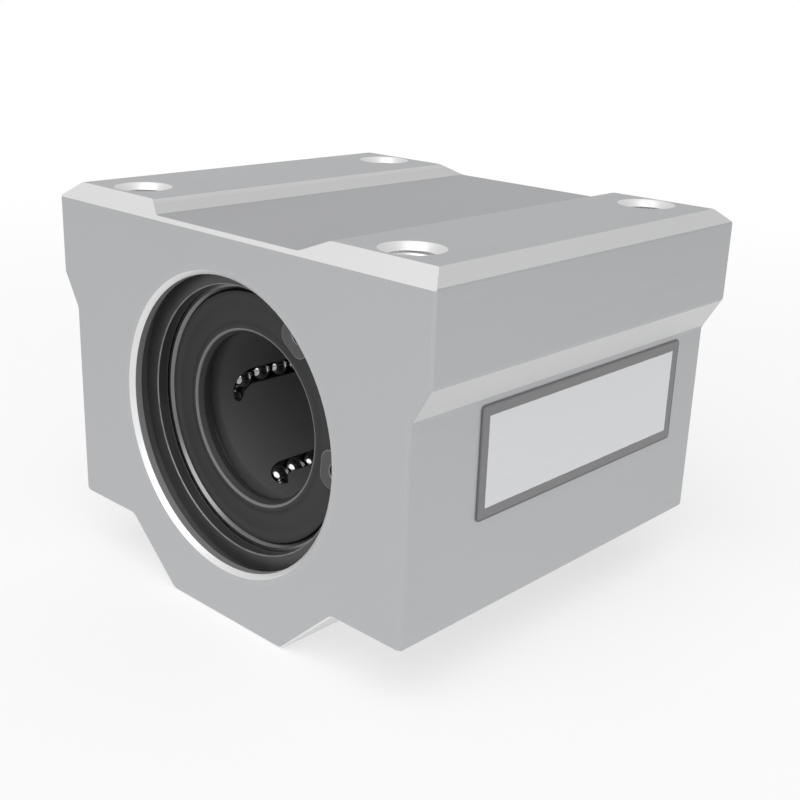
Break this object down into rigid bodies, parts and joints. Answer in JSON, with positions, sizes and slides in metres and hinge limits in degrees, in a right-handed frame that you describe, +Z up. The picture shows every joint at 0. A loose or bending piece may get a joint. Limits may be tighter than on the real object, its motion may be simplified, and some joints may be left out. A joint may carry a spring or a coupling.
{
  "type": "linear bearing block",
  "caption": "Aluminium block with a recirculating ball bearing for a round shaft, held by circlips, with a bolted flange face.",
  "frame": {"origin": "on the shaft axis, at mid length of the block", "axes": "+Y along the shaft axis towards the rear end; +Z up, out of the bolted pads; +X towards the labelled side"},
  "size_m": [0.05, 0.044, 0.0385],
  "materials": {
    "housing": "satin, clear anodised",
    "circlip": "black phosphated, oiled",
    "sleeve": "ground",
    "retainer": "moulded",
    "balls": "polished",
    "end_ring": "rolled spring steel",
    "seal": "moulded",
    "label": "foil sticker, satin"
  },
  "bodies": {
    "root": {"housing": "housing", "circlip_front": "circlip", "circlip_rear": "circlip", "bearing_sleeve": "sleeve", "ball_retainer": "retainer", "ball_circuit_1": "balls", "ball_circuit_2": "balls", "ball_circuit_3": "balls", "ball_circuit_4": "balls", "ball_circuit_5": "balls", "end_ring_front": "end_ring", "end_ring_rear": "end_ring", "seal_front": "seal", "seal_rear": "seal", "label": "label"}
  },
  "joints": []
}
